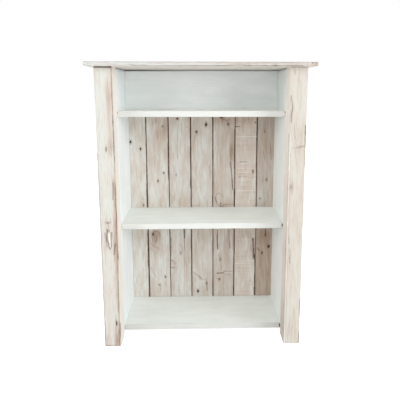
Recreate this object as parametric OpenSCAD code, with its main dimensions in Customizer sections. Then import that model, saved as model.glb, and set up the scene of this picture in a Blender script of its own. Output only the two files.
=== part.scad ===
// Rustic bookcase: four posts, a thin overhanging top board and a white case of
// three fixed shelves with an upright plank back.
// The origin is on the floor, under the middle of the top board. The front faces -Y.

/* [Overall] */
// Height from the floor to the top of the top board
total_h = 915; // [840:1:1200]
// Width over the outer faces of the posts
frame_w = 642; // [480:1:900]

/* [Top board] */
// Thickness of the top board
top_t = 13; // [12:0.5:30]
// How far the top board stands past the posts at the front and at both sides
top_overhang = 23; // [0:1:60]
// Bevel along the edges of the top board
top_bevel = 1.5; // [0.5:0.1:4]

/* [Posts] */
// Width of the front posts, side to side
post_w = 54; // [44:1:80]
// Depth of the front posts, front to back
post_d = 64; // [44:1:90]
// Depth of the rear posts, front to back
rear_post_d = 51; // [36:1:80]
// Bevel along the upright edges of the posts
post_bevel = 2.5; // [0.5:0.1:6]

/* [Side panels] */
// Thickness of the side panels
panel_t = 19; // [16:0.5:25]
// Depth of the side panels, from the back of the front posts to the planks
panel_d = 201; // [150:1:320]
// Height of the case above the floor
floor_gap = 18; // [8:1:60]

/* [Shelves] */
// Thickness of the shelves
shelf_t = 19; // [16:0.5:28]
// Height of the middle shelf's top face above the floor
middle_shelf_h = 396; // [300:1:480]
// Height of the top compartment, from the upper shelf to the top board
top_opening_h = 135; // [90:1:250]
// How far the shelves' front edges stand behind the side panels' front edges
shelf_setback = 2; // [2:1:40]
// Depth of the grooves in the side panels that hold the shelf ends
housing_d = 6; // [3:0.5:8]
// How far the tongues in the grooves lie below the shelves' top faces
tongue_drop = 2; // [1:0.5:4]
// Clearance over a shelf's tongue in its groove
housing_gap = 0.2; // [0.1:0.05:0.5]
// Bevel along the shelves' front edges
shelf_bevel = 1.5; // [0.5:0.1:4]

/* [Back] */
// Number of upright planks
plank_count = 7; // [5:1:9]
// Thickness of the planks
plank_t = 13; // [10:0.5:20]
// Open seam between two planks
plank_seam = 1.5; // [0.5:0.1:4]
// Width of the lip with which a plank closes the seam behind the next plank's edge
lap_w = 6; // [3:0.5:10]
// Clearance between a lip and the edge that it lies behind
lap_gap = 0.3; // [0.1:0.05:0.5]
// Bevel along the planks' upright edges
plank_bevel = 1.2; // [0.5:0.1:3]
// Thickness of the white back board of the top compartment
upper_back_t = 13; // [12:0.5:20]
// Depth of the rebate in the upper shelf that the white back board stands in
back_rebate_d = 3; // [1:0.5:5]
// Open seam above the white back board
upper_back_seam = 1.5; // [0.5:0.1:4]
// Depth of the top rear rail, which holds the white back board off the planks
rail_d = 46; // [30:1:60]
// Height of the top rear rail
rail_h = 40; // [32:1:45]

/* [Fasteners] */
// Shank diameter of the screws
screw_d = 4; // [3:0.5:5]
// Head diameter of the screws
screw_head_d = 8; // [6.5:0.5:9]
// How deep a shelf screw or a rail end screw bites past the side panel
shelf_screw_bite = 32; // [20:1:40]
// Distance of the shelf screws from the shelf's front edge and from the rear post
shelf_screw_inset = 30; // [15:1:45]
// Distance of the rail end screws below the top board
rail_end_screw_drop = 10; // [8:0.5:11]
// How deep a rear post screw bites into the side panel
post_screw_bite = 12; // [8:0.5:14]
// How deep a rail screw bites into the top board
top_screw_bite = 7; // [5:0.5:9]
// How deep a back board screw bites into the white back board
back_screw_bite = 8; // [5:0.5:9]
// Shank diameter of the plank nails
nail_d = 2; // [1.5:0.1:3]
// Head diameter of the plank nails
nail_head_d = 5; // [4:0.5:6]
// Thickness of the plank nails' heads
nail_head_t = 1; // [0.6:0.1:1.5]
// How deep a nail bites past its plank
nail_bite = 22; // [15:1:25]
// Distance between the two nails of a plank at one height
nail_spread = 30; // [20:1:32]
// Diameter of the dowels
dowel_d = 8; // [6:1:10]
// How deep a dowel stands in the top end of a post
dowel_post_depth = 24; // [15:1:40]
// How deep a dowel stands in the underside of the top board
dowel_top_depth = 7; // [5:0.5:8]
// How deep a dowel stands in a side panel's front edge and in the post before it
dowel_edge_depth = 20; // [15:1:30]
// Radial clearance of screws, nails and dowels in their holes
hole_gap = 0.1; // [0.05:0.01:0.2]

/* [Hidden] */
$fn = 32;

// Heights
post_h = total_h - top_t;
bottom_shelf_h = floor_gap + shelf_t;
upper_shelf_h = post_h - top_opening_h;
shelf_heights = [bottom_shelf_h, middle_shelf_h, upper_shelf_h];
upper_back_bottom = upper_shelf_h - back_rebate_d;
rail_bottom = post_h - rail_h;
// Half-way up each of the three compartments, clear of every shelf
lower_mid_h = (bottom_shelf_h + middle_shelf_h - shelf_t) / 2;
middle_mid_h = (middle_shelf_h + upper_shelf_h - shelf_t) / 2;
upper_mid_h = (upper_shelf_h + post_h) / 2;
mid_heights = [lower_mid_h, middle_mid_h, upper_mid_h];
nail_heights = concat([for (h = shelf_heights) h - shelf_t / 2], [post_h - rail_h / 2]);

// Depths, from the front of the top board to the back of the planks
total_d = top_overhang + post_d + panel_d + plank_t;
top_front_y = -total_d / 2;
post_front_y = top_front_y + top_overhang;
post_back_y = post_front_y + post_d;
plank_front_y = post_back_y + panel_d;
back_y = plank_front_y + plank_t;
lap_y = plank_front_y + plank_t / 2;
rear_post_front_y = back_y - rear_post_d;
shelf_front_y = post_back_y + shelf_setback;
rail_front_y = plank_front_y - rail_d;
rail_mid_y = rail_front_y + rail_d / 2;
upper_back_front_y = rail_front_y - upper_back_t;
shelf_screw_ys = [shelf_front_y + shelf_screw_inset, rear_post_front_y - shelf_screw_inset];

// Widths, out from the middle
top_half_w = frame_w / 2 + top_overhang;
post_outer_x = frame_w / 2;
inner_x = post_outer_x - post_w;
panel_outer_x = inner_x + panel_t;
shelf_half_l = inner_x + housing_d;
plank_pitch = (2 * panel_outer_x + plank_seam) / plank_count;
plank_w = plank_pitch - plank_seam;

// Fastener lengths and small allowances
screw_head_h = (screw_head_d - screw_d) / 2;
shelf_screw_l = panel_t - housing_d + shelf_screw_bite;
rail_end_screw_l = panel_t + shelf_screw_bite;
post_screw_l = post_w - panel_t + post_screw_bite;
rail_screw_l = rail_h + top_screw_bite;
back_board_screw_l = rail_d + back_screw_bite;
nail_l = plank_t + nail_bite;
tip_r = 0.3;
tip_gap = 0.3;
dowel_bevel = 1;
slot_w = 0.9;
slot_l = 0.55 * screw_head_d;
slot_depth = 1.2;
cut = 1;

function plank_left_x(i) = -panel_outer_x + (i - 1) * plank_pitch;

// A seam lies between plank i and the next one
function seam_x(i) = -panel_outer_x + i * plank_pitch - plank_seam / 2;

// Middle of the part of plank i that has a shelf behind it
function plank_nail_x(i) =
    (max(plank_left_x(i), -inner_x) + min(plank_left_x(i) + plank_w, inner_x)) / 2;

rail_screw_xs = [seam_x(1), seam_x(plank_count - 1)];
back_board_screw_xs = [seam_x(2), seam_x(plank_count - 2)];
nail_xs = [for (i = [1 : plank_count], side = [-1, 1]) plank_nail_x(i) + side * nail_spread / 2];

module whitewashed() {
    color([0.84, 0.80, 0.75]) children();
}

module painted_white() {
    color([0.93, 0.94, 0.93]) children();
}

module bare_wood() {
    color([0.76, 0.62, 0.45]) children();
}

module steel() {
    color([0.62, 0.62, 0.64]) children();
}

// An upright bar with its four long edges bevelled
module upright(x, y, z, size, bevel) {
    translate([x, y, z])
        linear_extrude(size[2])
            polygon([
                [bevel, 0], [size[0] - bevel, 0], [size[0], bevel], [size[0], size[1] - bevel],
                [size[0] - bevel, size[1]], [bevel, size[1]], [0, size[1] - bevel], [0, bevel]
            ]);
}

// Lays a y-z outline along x, centred
module along_x(length) {
    rotate([90, 0, 90])
        linear_extrude(length, center = true)
            children();
}

// Screws, nails and dowels are made pointing down their own z axis, head at the origin.
// These turn them to point up, towards the front, or in from one side (-1 left, 1 right).
module pointing_up() {
    mirror([0, 0, 1]) children();
}

module pointing_forward() {
    rotate([-90, 0, 0]) children();
}

module pointing_in(side) {
    rotate([0, side * 90, 0]) children();
}

module screw(length) {
    difference() {
        rotate_extrude()
            polygon([
                [0, 0], [screw_head_d / 2, 0], [screw_d / 2, -screw_head_h],
                [screw_d / 2, screw_d / 2 - length], [tip_r, -length], [0, -length]
            ]);
        for (turn = [0, 90])
            rotate([0, 0, turn])
                translate([-slot_l / 2, -slot_w / 2, -slot_depth])
                    cube([slot_l, slot_w, slot_depth + cut]);
    }
}

module screw_hole(length) {
    rotate_extrude()
        polygon([
            [0, cut], [screw_head_d / 2 + hole_gap, cut], [screw_head_d / 2 + hole_gap, 0],
            [screw_d / 2 + hole_gap, -screw_head_h],
            [screw_d / 2 + hole_gap, screw_d / 2 - length],
            [tip_r + hole_gap, -length - tip_gap], [0, -length - tip_gap]
        ]);
}

module nail() {
    rotate_extrude()
        polygon([
            [0, 0], [nail_head_d / 2, 0], [nail_head_d / 2, -nail_head_t], [nail_d / 2, -nail_head_t],
            [nail_d / 2, nail_d - nail_l], [tip_r, -nail_l], [0, -nail_l]
        ]);
}

module nail_hole() {
    rotate_extrude()
        polygon([
            [0, cut], [nail_head_d / 2 + hole_gap, cut], [nail_head_d / 2 + hole_gap, -nail_head_t],
            [nail_d / 2 + hole_gap, -nail_head_t], [nail_d / 2 + hole_gap, nail_d - nail_l],
            [tip_r + hole_gap, -nail_l - tip_gap], [0, -nail_l - tip_gap]
        ]);
}

// A dowel that reaches up and down from the origin
module dowel(above, below) {
    rotate_extrude()
        polygon([
            [0, above], [dowel_d / 2 - dowel_bevel, above], [dowel_d / 2, above - dowel_bevel],
            [dowel_d / 2, dowel_bevel - below], [dowel_d / 2 - dowel_bevel, -below], [0, -below]
        ]);
}

module dowel_hole(above, below) {
    translate([0, 0, -below - tip_gap])
        cylinder(d = dowel_d + 2 * hole_gap, h = above + below + 2 * tip_gap);
}

// Where the fasteners stand. Each of these puts its children at every place in its group.
module at_top_dowels() {
    for (side = [-1, 1]) {
        translate([side * (post_outer_x - post_w / 2), post_front_y + post_d / 2, post_h])
            children();
        translate([side * (panel_outer_x + post_outer_x) / 2, back_y - rear_post_d / 2, post_h])
            children();
    }
}

module at_side_dowels(side) {
    for (z = mid_heights)
        translate([side * (inner_x + panel_t / 2), post_back_y, z])
            rotate([90, 0, 0])
                children();
}

module at_shelf_screws(side, heights) {
    for (h = heights, y = shelf_screw_ys)
        translate([side * panel_outer_x, y, h - shelf_t / 2])
            pointing_in(side)
                children();
}

module at_rail_end_screw(side) {
    translate([side * panel_outer_x, rail_mid_y, post_h - rail_end_screw_drop])
        pointing_in(side)
            children();
}

module at_post_screws(side) {
    for (z = mid_heights)
        translate([side * post_outer_x, (rear_post_front_y + plank_front_y) / 2, z])
            pointing_in(side)
                children();
}

module at_rail_screws() {
    for (x = rail_screw_xs)
        translate([x, rail_mid_y, rail_bottom])
            pointing_up()
                children();
}

module at_back_board_screws() {
    for (x = back_board_screw_xs)
        translate([x, plank_front_y, rail_bottom + rail_h / 2])
            pointing_forward()
                children();
}

module at_nails(xs, heights) {
    for (x = xs, z = heights)
        translate([x, back_y, z])
            pointing_forward()
                children();
}

module top_board() {
    whitewashed()
        difference() {
            intersection() {
                along_x(2 * top_half_w) bevelled_edge_outline(top_front_y, back_y);
                rotate([0, 0, 90])
                    along_x(total_d) bevelled_edge_outline(-top_half_w, top_half_w);
            }
            at_top_dowels() dowel_hole(dowel_top_depth, dowel_post_depth);
            at_rail_screws() screw_hole(rail_screw_l);
        }
}

// Section of the top board between two places, with all four corners bevelled
module bevelled_edge_outline(from, to) {
    polygon([
        [from, post_h + top_bevel], [from + top_bevel, post_h], [to - top_bevel, post_h],
        [to, post_h + top_bevel], [to, total_h - top_bevel], [to - top_bevel, total_h],
        [from + top_bevel, total_h], [from, total_h - top_bevel]
    ]);
}

module front_post(side) {
    left_x = side < 0 ? -post_outer_x : inner_x;
    whitewashed()
        difference() {
            upright(left_x, post_front_y, 0, [post_w, post_d, post_h], post_bevel);
            at_top_dowels() dowel_hole(dowel_top_depth, dowel_post_depth);
            at_side_dowels(side) dowel_hole(dowel_edge_depth, dowel_edge_depth);
        }
}

module rear_post(side) {
    left_x = side < 0 ? -post_outer_x : panel_outer_x;
    whitewashed()
        difference() {
            upright(
                left_x, rear_post_front_y, 0,
                [post_outer_x - panel_outer_x, rear_post_d, post_h], post_bevel
            );
            at_top_dowels() dowel_hole(dowel_top_depth, dowel_post_depth);
            at_post_screws(side) screw_hole(post_screw_l);
        }
}

module side_panel(side) {
    left_x = side < 0 ? -panel_outer_x : inner_x;
    painted_white()
        difference() {
            translate([left_x, post_back_y, floor_gap])
                cube([panel_t, panel_d, post_h - floor_gap]);
            for (h = shelf_heights) {
                open_below = h == bottom_shelf_h ? cut : 0;
                translate([-shelf_half_l, post_back_y - cut, h - shelf_t - open_below])
                    cube([
                        2 * shelf_half_l, panel_d + 2 * cut,
                        shelf_t - tongue_drop + housing_gap + open_below
                    ]);
            }
            at_side_dowels(side) dowel_hole(dowel_edge_depth, dowel_edge_depth);
            at_shelf_screws(side, shelf_heights) screw_hole(shelf_screw_l);
            at_rail_end_screw(side) screw_hole(rail_end_screw_l);
            at_post_screws(side) screw_hole(post_screw_l);
        }
}

// A shelf whose top face is at height h, stepped down by back_step under the white back board
module shelf(h, back_step = 0) {
    painted_white()
        difference() {
            along_x(2 * shelf_half_l)
                polygon([
                    [shelf_front_y, h - shelf_t + shelf_bevel], [shelf_front_y + shelf_bevel, h - shelf_t],
                    [plank_front_y, h - shelf_t], [plank_front_y, h],
                    [shelf_front_y + shelf_bevel, h], [shelf_front_y, h - shelf_bevel]
                ]);
            for (left_x = [-shelf_half_l - cut, inner_x])
                translate([left_x, shelf_front_y - cut, h - tongue_drop])
                    cube([housing_d + cut, plank_front_y - shelf_front_y + 2 * cut, shelf_t]);
            translate([-shelf_half_l - cut, upper_back_front_y, h - back_step])
                cube([2 * (shelf_half_l + cut), plank_front_y - upper_back_front_y + cut, shelf_t]);
            for (side = [-1, 1])
                at_shelf_screws(side, [h]) screw_hole(shelf_screw_l);
            at_nails(nail_xs, [h - shelf_t / 2]) nail_hole();
        }
}

module upper_back_board() {
    painted_white()
        difference() {
            translate([-inner_x, upper_back_front_y, upper_back_bottom])
                cube([2 * inner_x, upper_back_t, post_h - upper_back_seam - upper_back_bottom]);
            at_back_board_screws() screw_hole(back_board_screw_l);
        }
}

module top_rear_rail() {
    bare_wood()
        difference() {
            translate([-inner_x, rail_front_y, rail_bottom])
                cube([2 * inner_x, rail_d, rail_h]);
            at_rail_screws() screw_hole(rail_screw_l);
            at_back_board_screws() screw_hole(back_board_screw_l);
            for (side = [-1, 1])
                at_rail_end_screw(side) screw_hole(rail_end_screw_l);
            at_nails(nail_xs, [post_h - rail_h / 2]) nail_hole();
        }
}

// Plan of plank i. Its left edge lies over the lip of the plank before, if there is one.
module plank_outline(i) {
    left = plank_left_x(i);
    right = left + plank_w;
    rear_left = i > 1 ? left + lap_w : left;
    rear_right = i < plank_count ? right + lap_w : right;
    polygon(concat(
        [[left, plank_front_y + plank_bevel], [left + plank_bevel, plank_front_y]],
        [[right - plank_bevel, plank_front_y], [right, plank_front_y + plank_bevel]],
        i < plank_count ? [[right, lap_y + lap_gap], [rear_right, lap_y + lap_gap]] : [],
        [[rear_right, back_y - plank_bevel], [rear_right - plank_bevel, back_y]],
        [[rear_left + plank_bevel, back_y], [rear_left, back_y - plank_bevel]],
        i > 1 ? [[rear_left, lap_y], [left, lap_y]] : []
    ));
}

module back_plank(i) {
    whitewashed()
        difference() {
            translate([0, 0, floor_gap])
                linear_extrude(post_h - floor_gap)
                    plank_outline(i);
            at_nails([for (side = [-1, 1]) plank_nail_x(i) + side * nail_spread / 2], nail_heights)
                nail_hole();
        }
}

module top_dowels() {
    bare_wood() at_top_dowels() dowel(dowel_top_depth, dowel_post_depth);
}

module side_dowels() {
    bare_wood()
        for (side = [-1, 1])
            at_side_dowels(side) dowel(dowel_edge_depth, dowel_edge_depth);
}

module shelf_screws() {
    steel()
        for (side = [-1, 1])
            at_shelf_screws(side, shelf_heights) screw(shelf_screw_l);
}

module rail_end_screws() {
    steel()
        for (side = [-1, 1])
            at_rail_end_screw(side) screw(rail_end_screw_l);
}

module rear_post_screws() {
    steel()
        for (side = [-1, 1])
            at_post_screws(side) screw(post_screw_l);
}

module rail_screws() {
    steel() at_rail_screws() screw(rail_screw_l);
}

module back_board_screws() {
    steel() at_back_board_screws() screw(back_board_screw_l);
}

module plank_nails() {
    steel() at_nails(nail_xs, nail_heights) nail();
}

top_board();
front_post(-1);  // front_post_left
front_post(1);  // front_post_right
rear_post(-1);  // rear_post_left
rear_post(1);  // rear_post_right
side_panel(-1);  // side_panel_left
side_panel(1);  // side_panel_right
shelf(upper_shelf_h, back_rebate_d);  // upper_shelf
shelf(middle_shelf_h);  // middle_shelf
shelf(bottom_shelf_h);  // bottom_shelf
upper_back_board();
top_rear_rail();
for (i = [1 : plank_count])
    back_plank(i);
top_dowels();
side_dowels();
shelf_screws();
rail_end_screws();
rear_post_screws();
rail_screws();
back_board_screws();
plank_nails();
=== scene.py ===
"""Looks of a rustic bookcase: whitewashed posts, top board and planks around a white painted case.

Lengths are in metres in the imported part's own frame: the origin on the floor, +Z up, the open front
towards -Y. Wear, marks and the materials' noises are in millimetres.
"""

import math
from collections import namedtuple

import bpy
import numpy as np
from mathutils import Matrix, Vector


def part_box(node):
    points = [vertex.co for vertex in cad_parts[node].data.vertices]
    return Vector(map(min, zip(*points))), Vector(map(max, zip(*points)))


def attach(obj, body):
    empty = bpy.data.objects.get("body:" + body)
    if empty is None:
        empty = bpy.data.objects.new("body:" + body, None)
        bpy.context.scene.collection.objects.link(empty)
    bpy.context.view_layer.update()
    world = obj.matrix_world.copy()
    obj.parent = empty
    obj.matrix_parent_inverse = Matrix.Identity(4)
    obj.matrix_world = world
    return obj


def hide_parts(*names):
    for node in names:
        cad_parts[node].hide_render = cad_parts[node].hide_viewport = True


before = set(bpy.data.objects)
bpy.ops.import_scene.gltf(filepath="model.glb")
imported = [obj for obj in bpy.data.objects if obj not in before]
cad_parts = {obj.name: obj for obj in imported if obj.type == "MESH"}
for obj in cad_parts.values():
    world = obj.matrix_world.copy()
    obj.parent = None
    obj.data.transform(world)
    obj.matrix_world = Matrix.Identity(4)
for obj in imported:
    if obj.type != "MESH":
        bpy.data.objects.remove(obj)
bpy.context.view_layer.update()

MM = 0.001
X, Y, Z = range(3)
SIDES = {"left": -1, "right": 1}
SHELVES = ("bottom_shelf", "middle_shelf", "upper_shelf")

# The photo's camera, with angles in degrees
CAMERA_PLACE = (0.0020, -1.4003, 0.8296)
CAMERA_PITCH_DOWN = 8.800
CAMERA_TURN_LEFT = -1.499
FOCAL_PIXELS = 418.85
PICTURE_PIXELS = 400
OPTICAL_CENTRE = (213.4, 155.9)
SENSOR_WIDTH = 36.0

# Each lamp's azimuth from the front towards the right, its elevation and its power in watts
LAMPS = {"key": (53, 13, 120), "fill": (-50, 18, 77), "upper": (5, 50, 43), "back": (180, 25, 98)}
LAMP_AIM_HEIGHT, LAMP_DISTANCE, LAMP_SIZE = 0.45, 5.0, 2.5
WHITE = (1.0, 1.0, 1.0, 1.0)
WORLD_STRENGTH = 0.53
FLOOR_HALF_SIZE, FLOOR_TONE, FLOOR_ROUGHNESS, FLOOR_GLOW = 40.0, 0.82, 0.9, 0.75

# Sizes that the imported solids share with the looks
TONGUE_DROP = 2 * MM
BACK_REBATE = 3 * MM
LAP_WIDTH = 6 * MM
LAP_GAP = 0.3 * MM
PLANK_COUNT = 7

# How a kind of board is worn, in millimetres: corner radius, then the depths of waves, grain ridges and
# chipped arrises, then the spacing of its points across and along the grain
Wear = namedtuple("Wear", "radius wave ridge chip across along")
TIMBER_WEAR = Wear(2.2, 0.35, 0.22, 1.3, 1.8, 4.0)
TOP_WEAR = Wear(1.6, 0.35, 0.22, 1.1, 2.0, 4.0)
PLANK_WEAR = Wear(0.8, 0.35, 0.2, 0.7, 1.8, 4.0)
PAINT_WEAR = Wear(1.2, 0.12, 0.04, 0.4, 4.0, 8.0)
FITTED_WEAR = Wear(0.3, 0.1, 0.04, 0.1, 4.0, 8.0)
WAVE_ACROSS, WAVE_ALONG = 14 * MM, 60 * MM
RIDGE_ACROSS, RIDGE_ALONG = 2.6 * MM, 60 * MM
CHIP_ACROSS, CHIP_ALONG = 6 * MM, 14 * MM
RUB_ACROSS, RUB_ALONG = 30 * MM, 90 * MM
# How far waves and ridges are turned away from the board's faces
WAVE_TURN = 0.6
# The share of the chips' depth that arrises are rubbed down by, on average
RUB_SHARE = 0.35
# How much wear a whole arris shows in its colour, besides its chips
ARRIS_SHOW = 0.4
ARRIS_REACH = 3 * MM
CRACK_DEPTH = 1.5 * MM
KNOT_DEPTH = 0.9 * MM
SHARP_ANGLE = 50
# Shares of the turn at which a rounded corner has its points, and of the radius at which an end has rings
CORNER_SHARES, END_SHARES = (0, 0.25, 0.5, 0.75, 1), (0, 0.3, 1)
# From a place to the rings just before and after it, between which a sharp step is cut
STEP = (-0.05 * MM, 0.05 * MM)
# The parts of its normal along an axis at which a face begins to look along it, and fully does
LOOKS_FROM, LOOKS_FULL = 0.5, 0.95
# Depths behind a plank's front where a seam's dirt and painted shade start and are full, and how far
# inside the edge the strokes along the seam lie
SEAM_CLEAN, SEAM_FULL, SEAM_INSET = 0.8 * MM, 3.5 * MM, 0.4 * MM
# Size of the table of random numbers behind the noise
NOISE_CELLS = 64

# First seed of each kind of board, and of the marks on hidden faces
POST_SEED, TOP_SEED, PLANK_SEED, PANEL_SEED, SHELF_SEED, BACK_SEED = 100, 140, 200, 300, 320, 340
HIDDEN_POST_SEED, HIDDEN_TOP_SEED = 70, 64

# The face of a board that its marks lie on, as the numbers of three axes, and how deep they go
Face = namedtuple("Face", "across along deep reach")
FRONT = Face(X, Z, Y, 10 * MM)
THROUGH = Face(X, Z, Y, 1.0)
TOP_EDGE = Face(Z, X, Y, 8 * MM)
TOP_SURFACE = Face(Y, X, Z, 30 * MM)
SHELF_EDGE = Face(Z, X, Y, 2 * MM)

# Marks on a face, with places and half sizes in millimetres. Across and along are X and Z on an upright
# board. A line's path holds such pairs. Pale lines have a negative dark, and limewashed stains a
# negative warmth.
Knot = namedtuple("Knot", "across along half_w half_l dark")
Line = namedtuple("Line", "path half_w dark")
Stain = namedtuple("Stain", "across along half_w half_l warmth")


def stroke(across, along, to_across, to_along, half_w, dark):
    """A straight line from one place to another."""
    return Line([(across, along), (to_across, to_along)], half_w, dark)


# What all the marks do at each point of a board: the distance to the nearest knot in knot radii, that
# knot's darkness, dark or pale lines, warm or limewashed stains, and the grain's sideways shift
Fields = namedtuple("Fields", "knot knot_dark line stain shift")
# The distance that stands for no knot at all
NO_KNOT = 6.0
# How fast stains fade outwards, and how strongly and far knots push the grain aside
STAIN_FALL = 0.7
GRAIN_PUSH, GRAIN_PUSH_SPREAD = 0.7, 8
# A line's edges wander by this share of its half width, over this length
LINE_WANDER, WANDER_LENGTH = 0.35, 35 * MM
# A line fades by up to twice this share in patches of about this size
LINE_FADE, FADE_ACROSS, FADE_ALONG = 0.15, 9 * MM, 16 * MM
# A line whose ends differ by less than this many millimetres along the board runs across it, and gets
# rings of points at these distances from its middle
CROSSING_TILT, CROSSING_MOVES = 6, range(-3, 4)

# The warm stains near the planks' tops, just under the upper shelf, are partly painted shade from that
# shelf
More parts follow.
